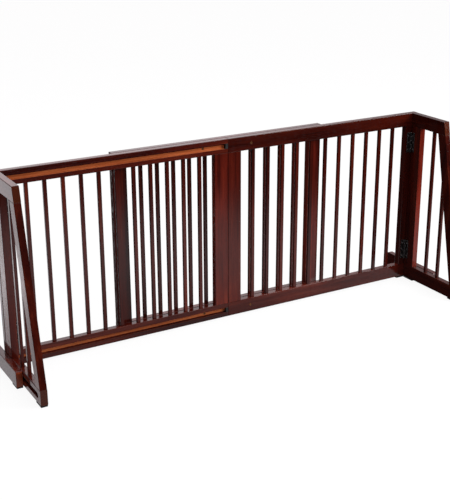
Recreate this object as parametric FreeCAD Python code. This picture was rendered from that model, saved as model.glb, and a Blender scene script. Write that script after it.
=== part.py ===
"""Freestanding sliding pet gate in varnished wood.

Two front panels stand end to end and slide outwards along a back panel that bridges
them.  A short wing is hinged to the outer end of each front panel, and a foot beam
is screwed across that end at floor level.

Frame: millimetres, +X along the gate to the right as seen from the front, -Y to the
front, +Z up.  The origin is on the floor, under the middle of the standing gate.
"""
import FreeCAD, Part
import os

V = FreeCAD.Vector

# ---------------------------------------------------------------- driving dimensions
STOCK = 18.0             # thickness of every rail, stile and leg
PAD_HEIGHT = 4.0         # rubber pad under each corner, which lifts the rails
GATE_HEIGHT = 508.0      # bottom rail underside to top rail upper face
TOP_RAIL = 38.0          # height of a top rail
BOTTOM_RAIL = 40.0       # height of a bottom rail
STILE = 40.0             # width of a stile
EASE = 1.5               # rounding of the long edges of the boards

BAR_COUNT = 11           # bars in one panel
BAR_WIDTH = 10.0         # along the gate
BAR_DEPTH = 8.0          # through the gate
BAR_GAP = 37.5           # clear gap between bars of a front panel
BACK_GAP = 37.15         # clear gap between bars of the back panel
BAR_EASE = 1.2
TENON = 8.0              # how far a bar goes into each rail
PANEL = 2 * STILE + BAR_COUNT * BAR_WIDTH + (BAR_COUNT + 1) * BAR_GAP
BACK_PANEL = 2 * STILE + BAR_COUNT * BAR_WIDTH + (BAR_COUNT + 1) * BACK_GAP

FRONT = 66.0             # front face of the two front panels
MEETING_GAP = 1.0        # between the two front panels
PANEL_GAP = 1.5          # between the front panels and the back panel
BACK_SHIFT = -8.0        # middle of the back panel from the middle of the gate

GROOVE_HEIGHT = 14.0     # left front panel's rails, and each wing's bottom rail
GROOVE_DEPTH = 8.0
GROOVE_STOP = 15.0       # from each end of a wing's bottom rail to its groove
SLOT_MOUTH = 8.0         # T slot in the rails of the back panel
SLOT_LIP = 3.0
SLOT_HEIGHT = 14.0
SLOT_DEPTH = 9.5
PLUG_LENGTH = 7.0        # plastic plug in each groove end

GUIDE_X = 72.0           # middle of a guide shoe from the middle of the gate
GUIDE_LENGTH = 40.0
RUN = 0.4                # running clearance of a guide shoe in its slot

DOWEL_RADIUS = 3.0
DOWEL_IN_RAIL = 10.0
DOWEL_IN_STILE = 25.0
DOWEL_SPREAD = 10.0      # dowels stand this far either side of a stile's middle

WING_REACH = 236.0       # front of the wing from the front face of the panel
WING_CLEARANCE = 1.0     # wing stile from the front face of the panel
WING_BEAM_GAP = 0.5      # wing from the foot beam, so that it swings free
LEG_LEAN = 98.0 / 468.0  # forward lean of the leg over its height
LEG_WIDTH = 31.0         # measured level, front to back
LONG_BAR_Y = 91.5        # middle of the wing's long bar, forward of the panel face
SHORT_BAR_Y = 142.5      # middle of the wing's short bar
WING_PAD_FRONT = 34.0
WING_PAD_REAR = 41.0
PANEL_PAD = 43.0
BEAM_PAD = 34.0
PAD_INSET = 0.5

BEAM_THICKNESS = 17.0
BEAM_TOP = 45.0          # above the floor
BEAM_FRONT = 117.0       # ahead of the panel's front face
BEAM_REAR = 104.0        # behind the panel's front face
BEAM_ROUND = 5.0         # rounded upper corner at each end

HINGE_HEIGHT = 58.0
HINGE_MIDDLES = (93.0, 426.0)
HINGE_LEAF = 12.0        # from the pin to the leaf's free edge
HINGE_PLATE = 1.2
HINGE_KNUCKLES = 5
KNUCKLE_RADIUS = 3.0
KNUCKLE_GAP = 0.3
PIN_RADIUS = 1.5
PIN_CLEARANCE = 0.05
PIN_OFFSET = 3.5         # pin axis from the panel face and from the wing's inner face
PIN_CAP_RADIUS = 2.3
PIN_CAP_HEIGHT = 1.0
LEAF_SCREW_PITCH = 20.0

LEAF_SCREW = (2.6, 1.2, 12.0)      # head radius, shank radius, length
GUIDE_SCREW_PLAIN = (3.6, 1.8, 24.0)
GUIDE_SCREW_GROOVE = (3.6, 1.8, 17.0)
BEAM_SCREW = (4.2, 2.0, 42.0)
BEAM_SCREW_HEIGHTS = (12.0, 26.0)
BEAM_SCREW_Y = 12.0      # behind the panel's front face, clear of the groove

# ---------------------------------------------------------------- places worked out
RAIL_BOTTOM = PAD_HEIGHT
BOTTOM_TOP = RAIL_BOTTOM + BOTTOM_RAIL
RAIL_TOP = RAIL_BOTTOM + GATE_HEIGHT
TOP_BOTTOM = RAIL_TOP - TOP_RAIL
LOW_GROOVE = (RAIL_BOTTOM + BOTTOM_TOP) / 2
HIGH_GROOVE = (TOP_BOTTOM + RAIL_TOP) / 2
BACK_FRONT = FRONT + STOCK + PANEL_GAP
WING_OUTER = PANEL - WING_BEAM_GAP
WING_INNER = WING_OUTER - STOCK
WING_REAR = FRONT - WING_CLEARANCE
WING_FRONT = FRONT - WING_REACH
PIN_X = WING_INNER - PIN_OFFSET
PIN_Y = FRONT - PIN_OFFSET


# ---------------------------------------------------------------- shape helpers
def box(x, y, z):
    """Box from three (low, high) pairs."""
    corner = V(x[0], y[0], z[0])
    return Part.makeBox(x[1] - x[0], y[1] - y[0], z[1] - z[0], corner)


def eased(shape, along, radius=EASE):
    """Round the straight edges that run along the given direction."""
    direction = V(along).normalize()
    edges = []
    for edge in shape.Edges:
        start, end = edge.Vertexes[0].Point, edge.Vertexes[-1].Point
        run = end - start
        if run.Length > 2 * radius and abs(run.normalize().dot(direction)) > 0.9999:
            edges.append(edge)
    return shape.makeFillet(radius, edges)


def mirrored(shape):
    """The same shape at the other end of the gate."""
    return shape.mirror(V(0, 0, 0), V(1, 0, 0))


def prism(points, x):
    """Solid between two X values from an outline of (y, z) points."""
    corners = [V(x[0], y, z) for y, z in points]
    face = Part.Face(Part.makePolygon(corners + corners[:1]))
    return face.extrude(V(x[1] - x[0], 0, 0))


def screw_hole(head_centre, pointing, sizes):
    """The hole that a countersunk screw fills, with its flat head at head_centre."""
    head, shank, length = sizes
    sink = head - shank
    body = Part.makeCone(head, shank, sink)
    body = body.fuse(Part.makeCylinder(shank, length - sink - shank, V(0, 0, sink)))
    body = body.fuse(Part.makeCone(shank, shank / 4, shank, V(0, 0, length - shank)))
    return aimed(body, head_centre, pointing)


def screw(head_centre, pointing, sizes):
    """Countersunk screw with a cross recess in its head."""
    head, shank, length = sizes
    blade, reach, depth = head * 0.22, head * 0.62, (head - shank) * 0.6
    body = screw_hole(head_centre, pointing, sizes)
    for across in ((reach, blade), (blade, reach)):
        slot = box((-across[0], across[0]), (-across[1], across[1]), (0, depth))
        body = body.cut(aimed(slot, head_centre, pointing))
    return body.removeSplitter()


def aimed(shape, place, pointing):
    """Carry a shape made along +Z to a place, with +Z turned to a direction."""
    shape.Placement = FreeCAD.Placement(V(place), FreeCAD.Rotation(V(0, 0, 1), V(pointing)))
    return shape


def write(name, shapes):
    """Write one node, which is one solid or a group of separate solids."""
    solids = shapes if isinstance(shapes, list) else [shapes]
    shape = solids[0] if len(solids) == 1 else Part.makeCompound(solids)
    shape.exportStep("parts/" + name + ".step")


# ---------------------------------------------------------------- joinery
def upright_dowels(x, y, low_rail_face, high_rail_face):
    """Four dowels of one stile: two at its foot and two at its head."""
    length = DOWEL_IN_RAIL + DOWEL_IN_STILE
    dowels = []
    for place in ((x - DOWEL_SPREAD, y), (x + DOWEL_SPREAD, y)):
        foot = V(place[0], place[1], low_rail_face - DOWEL_IN_RAIL)
        head = V(place[0], place[1], high_rail_face - DOWEL_IN_STILE)
        dowels.append(Part.makeCylinder(DOWEL_RADIUS, length, foot))
        dowels.append(Part.makeCylinder(DOWEL_RADIUS, length, head))
    return dowels


def panel_bars(x_start, direction, y_middle, gap):
    """Eleven bars, counted from the outer stile."""
    bars = []
    for index in range(BAR_COUNT):
        from_stile = gap + BAR_WIDTH / 2 + index * (BAR_WIDTH + gap)
        middle = x_start + direction * (STILE + from_stile)
        x = (middle - BAR_WIDTH / 2, middle + BAR_WIDTH / 2)
        y = (y_middle - BAR_DEPTH / 2, y_middle + BAR_DEPTH / 2)
        bar = box(x, y, (BOTTOM_TOP - TENON, TOP_BOTTOM + TENON))
        bars.append(eased(bar, (0, 0, 1), BAR_EASE))
    return bars


def board(x, y, z, along):
    """A rail or stile, its long edges rounded."""
    return eased(box(x, y, z), along)


class Panel:
    """A flat frame of two rails, two stiles and eleven bars."""

    def __init__(self, x, y_front, bars_from, bars_direction, gap=BAR_GAP):
        y = (y_front, y_front + STOCK)
        self.y_middle = (y[0] + y[1]) / 2
        between = (BOTTOM_TOP, TOP_BOTTOM)
        self.bars = panel_bars(bars_from, bars_direction, self.y_middle, gap)
        self.top = board(x, y, (TOP_BOTTOM, RAIL_TOP), (1, 0, 0))
        self.bottom = board(x, y, (RAIL_BOTTOM, BOTTOM_TOP), (1, 0, 0))
        self.low_stile = board((x[0], x[0] + STILE), y, between, (0, 0, 1))
        self.high_stile = board((x[1] - STILE, x[1]), y, between, (0, 0, 1))
        self.dowels = []
        for middle in (x[0] + STILE / 2, x[1] - STILE / 2):
            self.dowels += upright_dowels(middle, self.y_middle + 1, *between)
        self.cut_rails(self.bars + self.dowels)
        self.cut_stiles(self.dowels)

    def cut_rails(self, tools):
        self.top = self.top.cut(Part.makeCompound(tools))
        self.bottom = self.bottom.cut(Part.makeCompound(tools))

    def cut_stiles(self, tools):
        self.low_stile = self.low_stile.cut(Part.makeCompound(tools))
        self.high_stile = self.high_stile.cut(Part.makeCompound(tools))


# ---------------------------------------------------------------- grooves and guides
def groove_box(x, y_front, z_middle):
    z = (z_middle - GROOVE_HEIGHT / 2, z_middle + GROOVE_HEIGHT / 2)
    return box(x, (y_front, y_front + GROOVE_DEPTH), z)


def t_slot(x, y_front, z_middle):
    mouth = (z_middle - SLOT_MOUTH / 2, z_middle + SLOT_MOUTH / 2)
    channel = (z_middle - SLOT_HEIGHT / 2, z_middle + SLOT_HEIGHT / 2)
    lip_back = y_front + SLOT_LIP
    slot = box(x, (y_front, lip_back), mouth)
    return slot.fuse(box(x, (lip_back, y_front + SLOT_DEPTH), channel)).removeSplitter()


def guide_shoe(x_middle, z_middle):
    """T-shaped shoe on the back of a front panel, running in the back panel's slot."""
    x = (x_middle - GUIDE_LENGTH / 2, x_middle + GUIDE_LENGTH / 2)
    neck = (z_middle - SLOT_MOUTH / 2 + RUN, z_middle + SLOT_MOUTH / 2 - RUN)
    head = (z_middle - SLOT_HEIGHT / 2 + RUN, z_middle + SLOT_HEIGHT / 2 - RUN)
    head_front = BACK_FRONT + SLOT_LIP + RUN
    shoe = box(x, (FRONT + STOCK, head_front), neck)
    head_box = box(x, (head_front, BACK_FRONT + SLOT_DEPTH - RUN), head)
    return shoe.fuse(head_box).removeSplitter()


# ---------------------------------------------------------------- hinges
def knuckle_spans(z_middle, first):
    """Heights of every second knuckle, starting at knuckle number first."""
    pitch = HINGE_HEIGHT / HINGE_KNUCKLES
    low = z_middle - HINGE_HEIGHT / 2
    spans = []
    for index in range(first, HINGE_KNUCKLES, 2):
        bottom = low + index * pitch
        spans.append((bottom + KNUCKLE_GAP / 2, bottom + pitch - KNUCKLE_GAP / 2))
    return spans


def knuckle(span):
    return Part.makeCylinder(KNUCKLE_RADIUS, span[1] - span[0], V(PIN_X, PIN_Y, span[0]))


def leaf_screws(z_middle, on_wing):
    """Head centre and direction of the three screws of one leaf."""
    from_pin = PIN_OFFSET + (HINGE_LEAF - PIN_OFFSET) / 2
    places = []
    for step in (-1, 0, 1):
        z = z_middle + step * LEAF_SCREW_PITCH
        if on_wing:
            places.append((V(WING_INNER - HINGE_PLATE, PIN_Y - from_pin, z), V(1, 0, 0)))
        else:
            places.append((V(PIN_X - from_pin, FRONT - HINGE_PLATE, z), V(0, 1, 0)))
    return places


def hinge_leaf(z_middle, on_wing):
    """One leaf with its knuckles; the wing's leaf has the second and fourth."""
    full = (z_middle - HINGE_HEIGHT / 2, z_middle + HINGE_HEIGHT / 2)
    clear = KNUCKLE_RADIUS + KNUCKLE_GAP
    own = knuckle_spans(z_middle, 1 if on_wing else 0)
    bore = PIN_RADIUS + PIN_CLEARANCE if on_wing else PIN_RADIUS
    if on_wing:
        x = (WING_INNER - HINGE_PLATE, WING_INNER)
        plate = box(x, (PIN_Y - HINGE_LEAF, PIN_Y - clear), full)
        roots = [box(x, (PIN_Y - clear, PIN_Y), span) for span in own]
    else:
        y = (FRONT - HINGE_PLATE, FRONT)
        plate = box((PIN_X - HINGE_LEAF, PIN_X - clear), y, full)
        roots = [box((PIN_X - clear, PIN_X), y, span) for span in own]
    leaf = plate
    for root, span in zip(roots, own):
        leaf = leaf.fuse(root).fuse(knuckle(span))
    leaf = leaf.cut(Part.makeCylinder(bore, HINGE_HEIGHT, V(PIN_X, PIN_Y, full[0])))
    for place, pointing in leaf_screws(z_middle, on_wing):
        leaf = leaf.cut(screw_hole(place, pointing, LEAF_SCREW))
    return leaf.removeSplitter()


def hinge_pin(z_middle):
    low = z_middle - HINGE_HEIGHT / 2 + KNUCKLE_GAP / 2
    length = HINGE_HEIGHT - KNUCKLE_GAP
    pin = Part.makeCylinder(PIN_RADIUS, length, V(PIN_X, PIN_Y, low))
    for bottom in (low - PIN_CAP_HEIGHT, low + length):
        pin = pin.fuse(Part.makeCylinder(PIN_CAP_RADIUS, PIN_CAP_HEIGHT, V(PIN_X, PIN_Y, bottom)))
    return pin.removeSplitter()


# ---------------------------------------------------------------- wing
def leg_front(z):
    """How far forward the leg's front face is at a height."""
    return WING_FRONT + LEG_LEAN * (z - BOTTOM_TOP)


def wing_bar(y_forward, top):
    x_middle = (WING_INNER + WING_OUTER) / 2
    x = (x_middle - BAR_DEPTH / 2, x_middle + BAR_DEPTH / 2)
    y_middle = FRONT - y_forward
    y = (y_middle - BAR_WIDTH / 2, y_middle + BAR_WIDTH / 2)
    return eased(box(x, y, (BOTTOM_TOP - TENON, top)), (0, 0, 1), BAR_EASE)


def wing_groove():
    """Groove in the outer face of a wing's bottom rail, closed and rounded at both ends."""
    half = GROOVE_HEIGHT / 2
    x = (WING_OUTER - GROOVE_DEPTH, WING_OUTER)
    y = (WING_FRONT + GROOVE_STOP + half, WING_REAR - GROOVE_STOP - half)
    groove = box(x, y, (LOW_GROOVE - half, LOW_GROOVE + half))
    for centre in y:
        end = Part.makeCylinder(half, GROOVE_DEPTH, V(x[0], centre, LOW_GROOVE), V(1, 0, 0))
        groove = groove.fuse(end)
    return groove.removeSplitter()


def make_wing():
    """The right-hand wing's pieces by name."""
    x = (WING_INNER, WING_OUTER)
    x_middle = (x[0] + x[1]) / 2
    stile_y = (FRONT - STILE, WING_REAR)
    between = (BOTTOM_TOP, TOP_BOTTOM)
    stile = board(x, stile_y, between, (0, 0, 1))
    bottom = board(x, (WING_FRONT, WING_REAR), (RAIL_BOTTOM, BOTTOM_TOP), (0, 1, 0))
    slope = [(WING_REAR, TOP_BOTTOM), (WING_REAR, RAIL_TOP)]
    slope += [(leg_front(RAIL_TOP), RAIL_TOP), (leg_front(TOP_BOTTOM), TOP_BOTTOM)]
    top = eased(prism(slope, x), (0, 1, 0))

    low, high = leg_front(BOTTOM_TOP), leg_front(TOP_BOTTOM)
    outline = [(low, BOTTOM_TOP), (low + LEG_WIDTH, BOTTOM_TOP)]
    outline += [(high + LEG_WIDTH, TOP_BOTTOM), (high, TOP_BOTTOM)]
    leg = eased(prism(outline, x), (0, LEG_LEAN, 1))

    long_bar = wing_bar(LONG_BAR_Y, TOP_BOTTOM + TENON)
    short_bar = wing_bar(SHORT_BAR_Y, TOP_BOTTOM)
    inside = LEG_WIDTH - TENON
    beyond = [(low + inside, BOTTOM_TOP), (high + inside, TOP_BOTTOM + 1)]
    beyond += [(low - LEG_WIDTH, TOP_BOTTOM + 1), (low - LEG_WIDTH, BOTTOM_TOP)]
    short_bar = short_bar.cut(prism(beyond, (x[0] - 1, x[1] + 1)))

    length = DOWEL_IN_RAIL + DOWEL_IN_STILE
    stile_middle = (stile_y[0] + stile_y[1]) / 2
    half = LEG_WIDTH / 2
    dowels = []
    for y in (stile_middle - DOWEL_SPREAD, stile_middle + DOWEL_SPREAD, low + half + 2):
        foot = V(x_middle, y, BOTTOM_TOP - DOWEL_IN_RAIL)
        dowels.append(Part.makeCylinder(DOWEL_RADIUS, length, foot))
    for y in (stile_middle - DOWEL_SPREAD, stile_middle + DOWEL_SPREAD, high + half - 2):
        head = V(x_middle, y, TOP_BOTTOM - DOWEL_IN_STILE)
        dowels.append(Part.makeCylinder(DOWEL_RADIUS, length, head))

    inset_x = (x[0] + PAD_INSET, x[1] - PAD_INSET)
    front_pad = (WING_FRONT + PAD_INSET, WING_FRONT + PAD_INSET + WING_PAD_FRONT)
    rear_pad = (WING_REAR - PAD_INSET - WING_PAD_REAR, WING_REAR - PAD_INSET)
    pads = [box(inset_x, y, (0, PAD_HEIGHT)) for y in (front_pad, rear_pad)]

    tools = Part.makeCompound(dowels + [long_bar, short_bar])
    return {
        "stile": stile.cut(tools),
        "top_rail": top.cut(tools),
        "bottom_rail": bottom.cut(tools).cut(wing_groove()),
        "leg": leg.cut(tools),
        "long_bar": long_bar,
        "short_bar": short_bar,
        "dowels": dowels,
        "pads": [eased(pad, (0, 0, 1), 1.0) for pad in pads],
    }


# ---------------------------------------------------------------- foot beam
def foot_beam():
    """Right-hand beam across the end of the panel, its upper end corners rounded."""
    x = (PANEL, PANEL + BEAM_THICKNESS)
    y = (FRONT - BEAM_FRONT, FRONT + BEAM_REAR)
    beam = box(x, y, (PAD_HEIGHT, BEAM_TOP))
    corners = []
    for edge in beam.Edges:
        ends = [vertex.Point for vertex in edge.Vertexes]
        level = all(abs(point.z - BEAM_TOP) < 0.01 for point in ends)
        if level and abs(ends[0].y - ends[1].y) < 0.01:
            corners.append(edge)
    return eased(beam.makeFillet(BEAM_ROUND, corners), (0, 1, 0), 1.0)


def floor_pads():
    """Pads under the outer end of a front panel and under both ends of its foot beam."""
    thickness = (FRONT + PAD_INSET, FRONT + STOCK - PAD_INSET)
    pads = [box((PANEL - PANEL_PAD, PANEL - PAD_INSET), thickness, (0, PAD_HEIGHT))]
    x = (PANEL + PAD_INSET, PANEL + BEAM_THICKNESS - PAD_INSET)
    front = FRONT - BEAM_FRONT + PAD_INSET
    rear = FRONT + BEAM_REAR - PAD_INSET - BEAM_PAD
    for start in (front, rear):
        pads.append(box(x, (start, start + BEAM_PAD), (0, PAD_HEIGHT)))
    return [eased(pad, (0, 0, 1), 1.0) for pad in pads]


def beam_screw_places():
    places = []
    for z in BEAM_SCREW_HEIGHTS:
        places.append((V(PANEL + BEAM_THICKNESS, FRONT + BEAM_SCREW_Y, z), V(-1, 0, 0)))
    return places


# ---------------------------------------------------------------- assembly
def build_back():
    left = BACK_SHIFT - BACK_PANEL / 2
    x = (left, left + BACK_PANEL)
    panel = Panel(x, BACK_FRONT, left, 1, BACK_GAP)
    slots = [t_slot(x, BACK_FRONT, z) for z in (LOW_GROOVE, HIGH_GROOVE)]
    panel.cut_rails(slots)
    plugs = []
    for span in ((x[0], x[0] + PLUG_LENGTH), (x[1] - PLUG_LENGTH, x[1])):
        plugs += [t_slot(span, BACK_FRONT, z) for z in (LOW_GROOVE, HIGH_GROOVE)]
    write("back_top_rail", panel.top)
    write("back_bottom_rail", panel.bottom)
    write("back_left_stile", panel.low_stile)
    write("back_right_stile", panel.high_stile)
    write("back_bars", panel.bars)
    write("back_dowels", panel.dowels)
    write("back_slot_plugs", plugs)


def build_end(side):
    """One front panel with its wing: the left one has the open grooves."""
    left = side == "left"
    turn = mirrored if left else (lambda shape: shape)
    x = (-PANEL, -MEETING_GAP / 2) if left else (MEETING_GAP / 2, PANEL)
    outer = -PANEL if left else PANEL
    sign = -1 if left else 1
    panel = Panel(x, FRONT, outer, -sign)

    head_y = FRONT + GROOVE_DEPTH if left else FRONT
    sizes = GUIDE_SCREW_GROOVE if left else GUIDE_SCREW_PLAIN
    guides, guide_screws, guide_holes = [], [], []
    for z in (LOW_GROOVE, HIGH_GROOVE):
        guides.append(guide_shoe(sign * GUIDE_X, z))
        place = (V(sign * GUIDE_X, head_y, z), V(0, 1, 0), sizes)
        guide_screws.append(screw(*place))
        guide_holes.append(screw_hole(*place))
    guides = [guide.cut(Part.makeCompound(guide_holes)) for guide in guides]
    if left:
        panel.cut_rails([groove_box(x, FRONT, z) for z in (LOW_GROOVE, HIGH_GROOVE)])
        plugs = []
        for span in ((x[0], x[0] + PLUG_LENGTH), (x[1] - PLUG_LENGTH, x[1])):
            plugs += [groove_box(span, FRONT, z) for z in (LOW_GROOVE, HIGH_GROOVE)]
        write("left_groove_plugs", plugs)

    beam_holes = [turn(screw_hole(p, d, BEAM_SCREW)) for p, d in beam_screw_places()]
    panel.cut_rails(guide_holes + beam_holes)

    frame_places, wing_places = [], []
    for z in HINGE_MIDDLES:
        frame_places += leaf_screws(z, False)
        wing_places += leaf_screws(z, True)
    panel.cut_stiles([turn(screw_hole(p, d, LEAF_SCREW)) for p, d in frame_places])

    outer_stile, inner_stile = panel.high_stile, panel.low_stile
    if left:
        outer_stile, inner_stile = inner_stile, outer_stile
    write(side + "_top_rail", panel.top)
    write(side + "_bottom_rail", panel.bottom)
    write(side + "_outer_stile", outer_stile)
    write(side + "_inner_stile", inner_stile)
    write(side + "_bars", panel.bars)
    write(side + "_dowels", panel.dowels)
    write(side + "_guide_shoes", guides)
    write(side + "_guide_screws", guide_screws)

    beam = turn(foot_beam()).cut(Part.makeCompound(beam_holes))
    write(side + "_foot_beam", beam)
    write(side + "_foot_screws", [turn(screw(p, d, BEAM_SCREW)) for p, d in beam_screw_places()])
    write(side + "_panel_pads", [turn(pad) for pad in floor_pads()])

    wing = make_wing()
    wing_holes = Part.makeCompound([screw_hole(p, d, LEAF_SCREW) for p, d in wing_places])
    wing["stile"] = wing["stile"].cut(wing_holes)
    for name, shape in wing.items():
        shapes = shape if isinstance(shape, list) else [shape]
        write(side + "_wing_" + name, [turn(item) for item in shapes])

    for level, z in zip(("lower", "upper"), HINGE_MIDDLES):
        write(side + "_" + level + "_hinge_panel_leaf", turn(hinge_leaf(z, False)))
        write(side + "_" + level + "_hinge_wing_leaf", turn(hinge_leaf(z, True)))
    write(side + "_hinge_pins", [turn(hinge_pin(z)) for z in HINGE_MIDDLES])
    write(side + "_hinge_panel_screws", [turn(screw(p, d, LEAF_SCREW)) for p, d in frame_places])
    write(side + "_hinge_wing_screws", [turn(screw(p, d, LEAF_SCREW)) for p, d in wing_places])


os.makedirs("parts", exist_ok=True)
build_back()
build_end("left")
build_end("right")
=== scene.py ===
"""Looks for the sliding pet gate: varnished mahogany boards, black butt hinges, bronzed screws.

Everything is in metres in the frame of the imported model: +X along the gate to the right,
-Y to the front, +Z up, with the floor at Z = 0.
"""

import math

import bpy
from mathutils import Matrix, Vector


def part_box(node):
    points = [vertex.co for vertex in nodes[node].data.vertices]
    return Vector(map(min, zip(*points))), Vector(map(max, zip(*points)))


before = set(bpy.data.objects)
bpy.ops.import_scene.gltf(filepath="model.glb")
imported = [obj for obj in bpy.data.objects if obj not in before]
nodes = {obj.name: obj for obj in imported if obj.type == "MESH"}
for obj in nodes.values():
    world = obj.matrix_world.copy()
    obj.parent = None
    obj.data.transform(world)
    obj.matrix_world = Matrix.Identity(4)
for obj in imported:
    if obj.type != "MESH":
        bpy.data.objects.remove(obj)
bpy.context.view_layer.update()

# Sizes of the boards that the patterns on them have to follow.
BAR_PITCH = 0.0475       # bar to bar along a panel
LEG_WIDTH = 0.031        # of a wing's leg, measured level
GROOVE_HALF = 0.0070     # half the height of a groove in a rail
GROOVE_END = 0.0088      # just past a groove's floor, from the face that it is cut in


# ---------------------------------------------------------------- node helpers
class Shader:
    """A material, with short ways to add the nodes that make it up."""

    def __init__(self, name):
        self.material = bpy.data.materials.new(name)
        self.material.use_nodes = True
        self.tree = self.material.node_tree
        self.surface = self.tree.nodes["Principled BSDF"]
        self.coords = self.add("TexCoord")

    def add(self, kind, values=None, **settings):
        """Add a node, set its properties, and fill its inputs with numbers or links."""
        node = self.tree.nodes.new("ShaderNode" + kind)
        for name, value in settings.items():
            setattr(node, name, value)
        for key, value in (values or {}).items():
            if isinstance(value, bpy.types.NodeSocket):
                self.tree.links.new(value, node.inputs[key])
            else:
                node.inputs[key].default_value = value
        return node

    def set(self, **values):
        """Fill inputs of the surface; underscores stand for spaces."""
        for name, value in values.items():
            socket = self.surface.inputs[name.replace("_", " ")]
            if isinstance(value, bpy.types.NodeSocket):
                self.tree.links.new(value, socket)
            else:
                socket.default_value = value

    def math(self, operation, a, b=0.0):
        return self.add("Math", {0: a, 1: b}, operation=operation).outputs[0]

    def spread(self, value, low, high, to_low=0.0, to_high=1.0):
        """Carry a value from one range to another, held at both ends, with a soft start and stop."""
        values = {"Value": value, "From Min": low, "From Max": high, "To Min": to_low, "To Max": to_high}
        return self.add("MapRange", values, interpolation_type="SMOOTHSTEP").outputs["Result"]

    def above(self, value, limit, soft):
        """1 where a value is over a limit, 0 under it, and between them across a soft rim."""
        return self.spread(value, limit - soft, limit + soft)

    def below(self, value, limit, soft):
        """1 where a value is under a limit, 0 over it, and between them across a soft rim."""
        return self.spread(value, limit + soft, limit - soft)

    def mix(self, factor, a, b, blend="MIX"):
        values = {"Factor": factor, 6: a, 7: b}
        return self.add("Mix", values, data_type="RGBA", blend_type=blend).outputs[2]

    def brighten(self, colour, factor):
        """A colour with all of it multiplied by one number."""
        return self.mix(1.0, colour, self.join(factor, factor, factor), "MULTIPLY")

    def noise(self, vector, scale, detail=2.0, roughness=0.5):
        values = {"Vector": vector, "Scale": scale, "Detail": detail, "Roughness": roughness}
        return self.add("TexNoise", values).outputs[0]

    def stretched_noise(self, vector, factors, detail, roughness):
        """Noise with its own number of features in a metre along each axis."""
        return self.noise(self.stretch(vector, factors), 1.0, detail, roughness)

    def stretch(self, vector, factors):
        return self.add("VectorMath", {0: vector, 1: factors}, operation="MULTIPLY").outputs[0]

    def shift(self, vector, amount):
        return self.add("VectorMath", {0: vector, 1: amount}, operation="ADD").outputs[0]

    def split(self, vector):
        return self.add("SeparateXYZ", {0: vector}).outputs

    def join(self, x, y, z):
        return self.add("CombineXYZ", {0: x, 1: y, 2: z}).outputs[0]

    def bump(self, height, depth, normal=None):
        values = {"Height": height, "Strength": 1.0, "Distance": depth}
        if normal:
            values["Normal"] = normal
        return self.add("Bump", values).outputs["Normal"]

    def edge(self, radius):
        """The rounded normal near an edge, and how near an edge a point is, from 0 to 1."""
        rounded = self.add("Bevel", {"Radius": radius}, samples=4).outputs[0]
        flat = self.add("NewGeometry").outputs["Normal"]
        alike = self.add("VectorMath", {0: rounded, 1: flat}, operation="DOT_PRODUCT").outputs["Value"]
        return rounded, self.spread(alike, 0.995, 0.80)


# ---------------------------------------------------------------- mahogany
STAIN_DARK = (0.024, 0.0016, 0.0010, 1.0)
STAIN_MIDDLE = (0.072, 0.0066, 0.0030, 1.0)
STAIN_LIGHT = (0.160, 0.0220, 0.0085, 1.0)
END_DARK = (0.045, 0.0070, 0.0028, 1.0)
END_LIGHT = (0.130, 0.0260, 0.0085, 1.0)
WORN = (0.200, 0.0500, 0.0200, 1.0)
# Painted shade: nearly black, put in the grooves of the wings' bottom rails.
GROOVE_SHADE_PAINT = (0.007, 0.0007, 0.0005, 1.0)
RAW_DARK = (0.420, 0.0950, 0.0280, 1.0)
RAW_LIGHT = (0.740, 0.2150, 0.0720, 1.0)
VARNISH = {"Coat_Roughness": 0.09, "Coat_IOR": 1.4}
# How light each piece is beside the usual 1: partly each board's own take of the stain, partly painted
# light and shade, with the right panel's top rail and outer stile darkened as painted shade near the
# right corner and the back panel's stiles lightened or darkened as painted reflection.
STAIN_AND_LIGHT_TONES = {
    "left_inner_stile": 1.8,
    "right_inner_stile": 1.35,
    "left_top_rail": 1.05,
    "left_bottom_rail": 0.85,
    "right_top_rail": 0.72,
    "right_bottom_rail": 0.95,
    "right_outer_stile": 0.7,
    "back_left_stile": 0.85,
    "back_right_stile": 2.1,
    "right_wing_stile": 0.8,
    "right_wing_top_rail": 0.6,
    "right_wing_bottom_rail": 0.7,
    "right_wing_leg": 0.8,
    "left_wing_leg": 0.8,
    "left_wing_bottom_rail": 0.8,
    "left_foot_beam": 0.8,
}
# Painted light: how much lighter still the faces towards -X or -Y are on a few pieces, standing in for
# the light that falls on those faces.
PAINTED_FACE_LIGHT = {
    "right_wing_stile": ("Y", 3.4),
    "left_foot_beam": ("Y", 3.2),
    "left_wing_top_rail": ("X", 2.2),
    "left_wing_leg": ("X", 2.3),
    "left_wing_stile": ("X", 1.6),
    "left_wing_bottom_rail": ("X", 1.8),
}
# Lowest and highest thinly stained height in each groove, from the middle of its rail; the rest of the
# groove keeps the dark stain as painted shade, under the upper lip in the top rail's groove and on the
# ledge and lower wall in the bottom rail's groove.
THIN_STAIN = {
    "left_top_rail": (-0.0075, 0.0025),
    "left_bottom_rail": (-0.0048, 0.0075),
}


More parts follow.
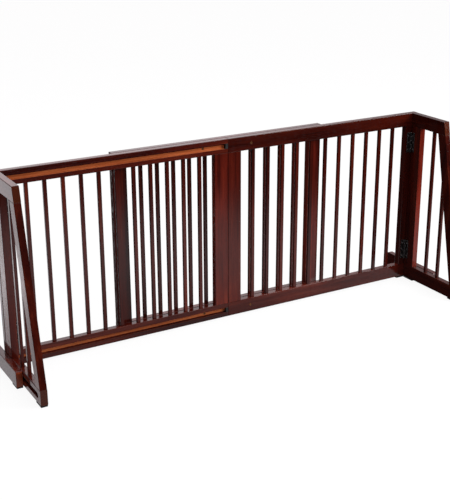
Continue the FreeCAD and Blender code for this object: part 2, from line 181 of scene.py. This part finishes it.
def along_grain(wood, axis, lean, seed, bar_start):
    """Place with X along the grain, how far a face is an end face, and a random number per bar.

    Every piece sits elsewhere in the grain, by its seed. Bars that share a node also get a
    random number each, from where they stand; other pieces get none.
    """
    place = wood.coords.outputs["Object"]
    facing = wood.coords.outputs["Normal"]
    if lean:
        angle = {"Angle": lean, "Axis": (1.0, 0.0, 0.0)}
        place = wood.add("VectorRotate", {"Vector": place, **angle}).outputs[0]
        facing = wood.add("VectorRotate", {"Vector": facing, **angle}).outputs[0]
    x, y, z = wood.split(place)
    end_on = wood.split(facing)["XYZ".index(axis)]
    turned = {"X": (x, y, z), "Y": (y, x, z), "Z": (z, x, y)}[axis]
    bar = None
    offset = (seed * 3.71, seed * 1.93, seed * 2.57)
    if bar_start is not None:
        along = wood.math("DIVIDE", wood.math("SUBTRACT", x, bar_start), BAR_PITCH)
        count = wood.math("FLOOR", along)
        bar = wood.add("TexWhiteNoise", {"W": count}, noise_dimensions="1D").outputs["Value"]
        offset = wood.shift(wood.join(wood.math("MULTIPLY", bar, 9.0), bar, 0.0), offset)
    return wood.shift(wood.join(*turned), offset), end_on, bar


def long_grain(wood, grain, fibre, pore, tone, bar):
    """Colour of a face along the grain: figure, fibres, dark pores and an uneven stain, scaled by a tone
    that is partly the board's own stain and partly painted light and shade.
    """
    figure = wood.stretched_noise(grain, (2.6, 46.0, 46.0), 4.0, 0.55)
    cloud = wood.stretched_noise(grain, (5.0, 13.0, 13.0), 2.0, 0.5)
    shade = wood.math("ADD", wood.math("MULTIPLY", figure, 0.75), wood.math("MULTIPLY", fibre, 0.25))
    low = wood.mix(wood.spread(shade, 0.30, 0.52), STAIN_DARK, STAIN_MIDDLE)
    colour = wood.mix(wood.spread(shade, 0.50, 0.74), low, STAIN_LIGHT)
    uneven = wood.spread(cloud, 0.25, 0.75, 0.78 * tone, 1.28 * tone)
    if bar:
        uneven = wood.math("MULTIPLY", uneven, wood.spread(bar, 0.0, 1.0, 0.80, 1.25))
    colour = wood.brighten(colour, uneven)
    return wood.mix(wood.math("MULTIPLY", pore, 0.55), colour, STAIN_DARK)


def end_grain(wood, grain):
    """Colour of a sawn end: growth rings, and pores that took more stain."""
    rings = wood.add("TexWave", {
        "Vector": wood.shift(wood.stretch(grain, (0.0, 1.0, 1.0)), (0.0, 0.021, 0.013)),
        "Scale": 95.0, "Distortion": 2.2, "Detail": 2.0, "Detail Scale": 1.6,
    }, wave_type="RINGS", rings_direction="X").outputs["Fac"]
    dots = wood.stretched_noise(grain, (300.0, 900.0, 900.0), 1.0, 0.5)
    colour = wood.mix(wood.spread(rings, 0.1, 0.9), END_DARK, END_LIGHT)
    return wood.mix(wood.spread(dots, 0.56, 0.68, 0.0, 0.6), colour, STAIN_DARK)


def rubbed(wood, grain, edge):
    """How far the stain is rubbed through, in patches along the edges."""
    patchy = wood.spread(wood.stretched_noise(grain, (30.0, 90.0, 90.0), 3.0, 0.6), 0.42, 0.62)
    return wood.math("MULTIPLY", edge, wood.math("MULTIPLY", patchy, 0.45))


def thinned_stain(wood, rail):
    """How far a point is in the thinly stained strip of a left panel rail's groove."""
    rail_low, rail_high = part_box(rail)
    middle = (rail_low.z + rail_high.z) / 2
    low, high = (middle + height for height in THIN_STAIN[rail])
    _, y, z = wood.split(wood.coords.outputs["Object"])
    from_middle = wood.math("ABSOLUTE", wood.math("SUBTRACT", z, (low + high) / 2))
    inside = wood.below(from_middle, (high - low) / 2 + 0.0001, 0.0005)
    behind_face = wood.above(y, rail_low.y + 0.0011, 0.0005)
    ahead_of_floor = wood.below(y, rail_low.y + GROOVE_END, 0.0004)
    return wood.math("MULTIPLY", inside, wood.math("MULTIPLY", behind_face, ahead_of_floor))


def raw_colour(wood, grain, fibre, pore):
    """Colour of the streaky wood where hardly any stain took."""
    streak = wood.stretched_noise(grain, (5.0, 190.0, 190.0), 4.0, 0.6)
    tone = wood.math("ADD", wood.math("MULTIPLY", streak, 0.7), wood.math("MULTIPLY", fibre, 0.3))
    colour = wood.mix(wood.spread(tone, 0.32, 0.68), RAW_DARK, RAW_LIGHT)
    return wood.mix(wood.math("MULTIPLY", pore, 0.4), colour, END_DARK)


def painted_groove_shade(wood, rail):
    """How far a point is in the groove of a wing's rail, which is painted nearly black as shade."""
    low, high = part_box(rail)
    outer_face = max(abs(low.x), abs(high.x))
    x, y, z = wood.split(wood.coords.outputs["Object"])
    depth = wood.math("SUBTRACT", outer_face, wood.math("ABSOLUTE", x))
    from_middle = wood.math("ABSOLUTE", wood.math("SUBTRACT", z, (low.z + high.z) / 2))
    inside = wood.below(from_middle, GROOVE_HALF, 0.0003)
    inside = wood.math("MULTIPLY", inside, wood.above(depth, 0.0009, 0.0006))
    inside = wood.math("MULTIPLY", inside, wood.below(depth, GROOVE_END, 0.0004))
    return wood.math("MULTIPLY", inside, wood.above(y, low.y + 0.0130, 0.0010))


def mahogany(piece, axis, seed, lean=0.0, bar_start=None):
    """Stained mahogany under gloss varnish, with its grain along one axis of the piece."""
    wood = Shader(piece + "_wood")
    grain, end_on, bar = along_grain(wood, axis, lean, seed, bar_start)
    fibre = wood.stretched_noise(grain, (16.0, 620.0, 620.0), 2.0, 0.6)
    pore = wood.spread(wood.stretched_noise(grain, (62.0, 1500.0, 1500.0), 1.0, 0.5), 0.60, 0.70)
    rounded, edge = wood.edge(0.0012)

    end = wood.spread(wood.math("ABSOLUTE", end_on), 0.80, 0.95)
    # The piece's tone is partly its own stain and partly painted light and shade.
    colour = long_grain(wood, grain, fibre, pore, STAIN_AND_LIGHT_TONES.get(piece, 1.0), bar)
    colour = wood.mix(end, colour, end_grain(wood, grain))
    # Faces towards -X or -Y on these pieces are lightened as painted light, standing in for the light
    # that falls on them.
    if piece in PAINTED_FACE_LIGHT:
        lit_face_axis, face_light_gain = PAINTED_FACE_LIGHT[piece]
        facing = wood.split(wood.coords.outputs["Normal"])["XYZ".index(lit_face_axis)]
        colour = wood.brighten(colour, wood.spread(facing, -0.7, -0.9, 1.0, face_light_gain))
    colour = wood.mix(rubbed(wood, grain, edge), colour, WORN)

    ripple = wood.stretched_noise(grain, (9.0, 60.0, 60.0), 1.0, 0.5)
    height = wood.math("SUBTRACT", ripple, wood.math("MULTIPLY", pore, 0.35))
    gloss = wood.spread(wood.stretched_noise(grain, (12.0, 40.0, 40.0), 3.0, 0.6), 0.3, 0.7, 0.26, 0.40)
    roughness = wood.math("ADD", gloss, wood.math("MULTIPLY", end, 0.12))
    coat = 1.0
    # Outside the thinly stained strip the groove keeps the dark stain, as painted shade.
    if piece in THIN_STAIN:
        thin = thinned_stain(wood, piece)
        colour = wood.mix(thin, colour, raw_colour(wood, grain, fibre, pore))
        roughness = wood.math("ADD", roughness, wood.math("MULTIPLY", thin, 0.3))
        coat = wood.math("SUBTRACT", 1.0, wood.math("MULTIPLY", thin, 0.7))
    # Painted shade: the groove of a wing's bottom rail is darkened nearly to black, with less varnish
    # coat.
    if piece.endswith("wing_bottom_rail"):
        groove_shade_mask = painted_groove_shade(wood, piece)
        colour = wood.mix(wood.math("MULTIPLY", groove_shade_mask, 0.9), colour, GROOVE_SHADE_PAINT)
        coat = wood.math("SUBTRACT", 1.0, wood.math("MULTIPLY", groove_shade_mask, 0.8))

    normal = wood.bump(height, 0.00010, rounded)
    wood.set(Base_Color=colour, Roughness=roughness, Specular_IOR_Level=0.0, Normal=normal)
    wood.set(Coat_Weight=coat, Coat_Normal=normal, **VARNISH)
    return wood.material


# ---------------------------------------------------------------- other materials
DOWEL_DARK = (0.36, 0.21, 0.10, 1)
DOWEL_LIGHT = (0.62, 0.43, 0.25, 1)
PAINT_DARK = (0.010, 0.010, 0.011, 1)
PAINT_LIGHT = (0.024, 0.022, 0.022, 1)
HINGE_EDGE_HIGHLIGHT = (0.34, 0.32, 0.32, 1)
BRONZE_BRIGHT = (0.34, 0.15, 0.06, 1)
BRONZE_DULL = (0.12, 0.06, 0.03, 1)
PLASTIC_DARK = (0.008, 0.007, 0.007, 1)
PLASTIC_LIGHT = (0.020, 0.017, 0.016, 1)
PLASTIC_EDGE = (0.07, 0.06, 0.06, 1)
RUBBER_BLACK = (0.014, 0.012, 0.012, 1)
RUBBER_DUST = (0.075, 0.066, 0.060, 1)


def bare_dowel():
    """Unfinished pale hardwood with fine pores along the dowel."""
    wood = Shader("bare_dowel")
    streak = wood.stretched_noise(wood.coords.outputs["Object"], (700.0, 700.0, 30.0), 3.0, 0.6)
    colour = wood.mix(wood.spread(streak, 0.3, 0.7), DOWEL_DARK, DOWEL_LIGHT)
    wood.set(Base_Color=colour, Roughness=0.7, Normal=wood.bump(streak, 0.0001))
    return wood.material


def black_hinge():
    """Steel under satin black paint, with grey painted highlights along its edges."""
    metal = Shader("black_hinge_paint")
    place = metal.coords.outputs["Object"]
    peel = metal.noise(place, 900.0, 2.0, 0.5)
    smudge = metal.noise(place, 90.0, 3.0, 0.6)
    rounded, edge = metal.edge(0.0010)
    colour = metal.mix(metal.spread(smudge, 0.3, 0.7), PAINT_DARK, PAINT_LIGHT)
    # The grey along the edges is a painted highlight.
    colour = metal.mix(metal.math("MULTIPLY", edge, 0.9), colour, HINGE_EDGE_HIGHLIGHT)
    metal.set(Base_Color=colour, Roughness=metal.spread(smudge, 0.3, 0.7, 0.24, 0.38))
    metal.set(Metallic=0.35, Normal=metal.bump(peel, 0.00003, rounded))
    return metal.material


def bronze():
    """Tarnished bronze-plated screw with fine turning marks."""
    metal = Shader("bronzed_screw")
    place = metal.coords.outputs["Object"]
    marks = metal.stretched_noise(place, (900.0, 200.0, 2600.0), 2.0, 0.5)
    tarnish = metal.noise(place, 420.0, 3.0, 0.6)
    rounded = metal.edge(0.0004)[0]
    colour = metal.mix(metal.spread(tarnish, 0.35, 0.7), BRONZE_BRIGHT, BRONZE_DULL)
    metal.set(Base_Color=colour, Metallic=1.0, Roughness=metal.spread(marks, 0.3, 0.7, 0.22, 0.42))
    metal.set(Normal=metal.bump(marks, 0.00002, rounded))
    return metal.material


def black_moulding():
    """Matt black plastic with a fine spark-eroded texture."""
    plastic = Shader("black_moulding")
    place = plastic.coords.outputs["Object"]
    grit = plastic.noise(place, 2400.0, 2.0, 0.6)
    haze = plastic.noise(place, 120.0, 2.0, 0.5)
    rounded, edge = plastic.edge(0.0005)
    colour = plastic.mix(haze, PLASTIC_DARK, PLASTIC_LIGHT)
    colour = plastic.mix(plastic.math("MULTIPLY", edge, 0.4), colour, PLASTIC_EDGE)
    plastic.set(Base_Color=colour, Roughness=plastic.spread(haze, 0.3, 0.7, 0.42, 0.58))
    plastic.set(Normal=plastic.bump(grit, 0.00004, rounded))
    return plastic.material


def rubber():
    """Dull black rubber with a little pale dust."""
    pad = Shader("rubber_pad")
    place = pad.coords.outputs["Object"]
    grit = pad.noise(place, 1500.0, 3.0, 0.6)
    dust = pad.noise(place, 160.0, 4.0, 0.65)
    colour = pad.mix(pad.spread(dust, 0.45, 0.8, 0.0, 0.5), RUBBER_BLACK, RUBBER_DUST)
    pad.set(Base_Color=colour, Roughness=pad.spread(dust, 0.3, 0.7, 0.66, 0.86))
    pad.set(Normal=pad.bump(grit, 0.00008))
    return pad.material


# ---------------------------------------------------------------- dressing the nodes
SIDES = ("left", "right")
PANELS = ("back", "left", "right")
WING_GRAIN = {"top_rail": "Y", "bottom_rail": "Y", "stile": "Z", "long_bar": "Z", "short_bar": "Z"}


def dress(name, material):
    """Give a node one material in all its slots."""
    mesh = nodes[name].data
    mesh.materials.clear()
    mesh.materials.append(material)


def leg_lean():
    """Angle of the leg from upright, from how far its solid spreads over its height."""
    low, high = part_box("left_wing_leg")
    return math.atan2((high.y - low.y) - LEG_WIDTH, high.z - low.z)


def dress_panel(panel, seed, dowel_wood):
    stiles = ("left_stile", "right_stile") if panel == "back" else ("outer_stile", "inner_stile")
    for offset, rail in enumerate(("top_rail", "bottom_rail")):
        name = panel + "_" + rail
        dress(name, mahogany(name, "X", seed + offset))
    for offset, stile in enumerate(stiles):
        name = panel + "_" + stile
        dress(name, mahogany(name, "Z", seed + 3 + offset))
    bars = panel + "_bars"
    left_of_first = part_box(bars)[0].x - 0.4 * BAR_PITCH
    dress(bars, mahogany(bars, "Z", seed + 6, bar_start=left_of_first))
    dress(panel + "_dowels", dowel_wood)


def dress_wing(side, seed, dowel_wood):
    for offset, (part, axis) in enumerate(WING_GRAIN.items()):
        name = side + "_wing_" + part
        dress(name, mahogany(name, axis, seed + offset))
    leg = side + "_wing_leg"
    dress(leg, mahogany(leg, "Z", seed + 6, lean=-leg_lean()))
    beam = side + "_foot_beam"
    dress(beam, mahogany(beam, "Y", seed + 7))
    dress(side + "_wing_dowels", dowel_wood)


def dress_hardware():
    hinge_black = black_hinge()
    screw_bronze = bronze()
    moulding = black_moulding()
    pad_rubber = rubber()
    for name in nodes:
        if "hinge" in name or name.endswith("foot_screws"):
            dress(name, hinge_black)
        elif name.endswith("guide_screws"):
            dress(name, screw_bronze)
        elif name.endswith(("plugs", "shoes")):
            dress(name, moulding)
        elif name.endswith("pads"):
            dress(name, pad_rubber)


bare = bare_dowel()
for number, panel_name in enumerate(PANELS):
    dress_panel(panel_name, 1.0 + 11 * number, bare)
for number, side_name in enumerate(SIDES):
    dress_wing(side_name, 40.0 + 13 * number, bare)
dress_hardware()


# ---------------------------------------------------------------- floor, light, camera
FLOOR_HALF = 30.0
FLOOR_PAPER = {"Base_Color": (0.12, 0.12, 0.12, 1), "Roughness": 0.9, "Specular_IOR_Level": 0.0}
FLOOR_GLOW = {"Emission_Color": (1.0, 1.0, 1.0, 1), "Emission_Strength": 0.90}
# Soft pale patches of the surroundings: middle bearing, clockwise from straight behind the
# gate, and half its width; middle height and half its width; softness of the rim, all in
# degrees; and brightness.
GLOWS = {
    "ceiling": (0.0, 180.0, 90.0, 20.0, 75.0, 0.85),
    "back_wall": (14.0, 12.0, 18.0, 14.0, 22.0, 1.22),
    "left_glow_high": (-10.0, 8.5, -14.0, 6.0, 4.0, 1.35),
    "left_glow_low": (-10.0, 8.5, -26.0, 4.0, 4.0, 0.85),
    "front_band": (180.0, 75.0, -20.2, 0.8, 2.6, 0.53),
    "front_floor": (180.0, 75.0, -50.0, 31.5, 2.5, 0.38),
}
GLOOM = 0.035            # brightness of everything between the patches
WORLD_TINT = (1.0, 0.955, 0.985, 1)

CAMERA_PLACE = (-1.32084, -2.22656, 1.16107)
CAMERA_YAW = 29.754      # degrees, clockwise from facing +Y
CAMERA_PITCH = 19.948    # degrees, downwards
CAMERA_ROLL = -0.188
CAMERA_LENS = 74.0       # millimetres, on film 36 mm wide


def make_floor():
    """White paper that glows; the varnish reflects the world's patches in its place."""
    mesh = bpy.data.meshes.new("studio_floor")
    corners = [(-FLOOR_HALF, -FLOOR_HALF, 0), (FLOOR_HALF, -FLOOR_HALF, 0),
               (FLOOR_HALF, FLOOR_HALF, 0), (-FLOOR_HALF, FLOOR_HALF, 0)]
    mesh.from_pydata(corners, [], [(0, 1, 2, 3)])
    floor = bpy.data.objects.new("studio_floor", mesh)
    bpy.context.scene.collection.objects.link(floor)
    floor.visible_glossy = False
    floor.visible_diffuse = False
    paper = Shader("floor_paper")
    paper.set(**FLOOR_PAPER, **FLOOR_GLOW)
    mesh.materials.append(paper.material)


def make_world():
    """Dim surroundings with a few soft pale patches, which the varnish reflects."""
    world = bpy.data.worlds.new("studio")
    bpy.context.scene.world = world
    world.use_nodes = True
    tree = world.node_tree

    def math_node(operation, a, b=0.0):
        node = tree.nodes.new("ShaderNodeMath")
        node.operation = operation
        for socket, value in zip(node.inputs, (a, b)):
            if isinstance(value, bpy.types.NodeSocket):
                tree.links.new(value, socket)
            else:
                socket.default_value = value
        return node.outputs[0]

    def window(angle, middle, half, soft):
        """1 within half of the middle, falling to 0 over the soft rim."""
        away = math_node("ABSOLUTE", math_node("SUBTRACT", angle, math.radians(middle)))
        ramp = tree.nodes.new("ShaderNodeMapRange")
        ramp.interpolation_type = "SMOOTHSTEP"
        tree.links.new(away, ramp.inputs["Value"])
        ramp.inputs["From Min"].default_value = math.radians(half + soft)
        ramp.inputs["From Max"].default_value = math.radians(half)
        return ramp.outputs["Result"]

    direction = tree.nodes.new("ShaderNodeTexCoord").outputs["Generated"]
    split = tree.nodes.new("ShaderNodeSeparateXYZ")
    tree.links.new(direction, split.inputs[0])
    x, y, z = split.outputs
    # Two bearings, each with its jump from end to end out of the way of its own patches.
    behind = math_node("ARCTAN2", x, y)
    turned = math_node("ARCTAN2", math_node("MULTIPLY", x, -1.0), math_node("MULTIPLY", y, -1.0))
    in_front = math_node("ADD", turned, math.pi)
    height = math_node("ARCSINE", z)
    total = GLOOM
    for bearing, half_bearing, middle, half_height, soft, brightness in GLOWS.values():
        across = window(in_front if bearing > 90.0 else behind, bearing, half_bearing, soft)
        upright = window(height, middle, half_height, soft)
        glow = math_node("MULTIPLY", math_node("MULTIPLY", across, upright), brightness)
        total = math_node("ADD", glow, total)
    background = tree.nodes["Background"]
    background.inputs["Color"].default_value = WORLD_TINT
    tree.links.new(total, background.inputs["Strength"])


def area_light(name, place, target, size, power):
    """A rectangular lamp that faces its target and isn't seen itself."""
    data = bpy.data.lights.new(name, "AREA")
    data.shape = "RECTANGLE"
    data.size, data.size_y = size
    data.energy = power
    lamp = bpy.data.objects.new(name, data)
    bpy.context.scene.collection.objects.link(lamp)
    lamp.location = place
    lamp.visible_camera = False
    lamp.rotation_euler = (Vector(target) - Vector(place)).to_track_quat("-Z", "Y").to_euler()


def make_camera():
    """Standing to the left of the gate, looking down at it over the left wing."""
    yaw, pitch, roll = map(math.radians, (CAMERA_YAW, CAMERA_PITCH, CAMERA_ROLL))
    forward = Vector((math.sin(yaw) * math.cos(pitch), math.cos(yaw) * math.cos(pitch), -math.sin(pitch)))
    level = Vector((math.cos(yaw), -math.sin(yaw), 0.0))
    upright = level.cross(forward)
    right = level * math.cos(roll) + upright * math.sin(roll)
    up = upright * math.cos(roll) - level * math.sin(roll)
    data = bpy.data.cameras.new("camera")
    data.lens = CAMERA_LENS
    data.sensor_width = 36.0
    camera = bpy.data.objects.new("camera", data)
    bpy.context.scene.collection.objects.link(camera)
    turn = Matrix((right, up, -forward)).transposed()
    camera.matrix_world = Matrix.Translation(CAMERA_PLACE) @ turn.to_4x4()
    bpy.context.scene.camera = camera


make_floor()
make_world()
area_light("key_softbox", place=(2.0, -1.6, 1.35), target=(0.1, 0.0, 0.25), size=(1.1, 0.9), power=45)
area_light("top_softbox", place=(1.0, -0.5, 3.1), target=(0.0, 0.0, 0.0), size=(4.0, 4.0), power=50)
make_camera()
bpy.context.scene.view_settings.view_transform = "Standard"
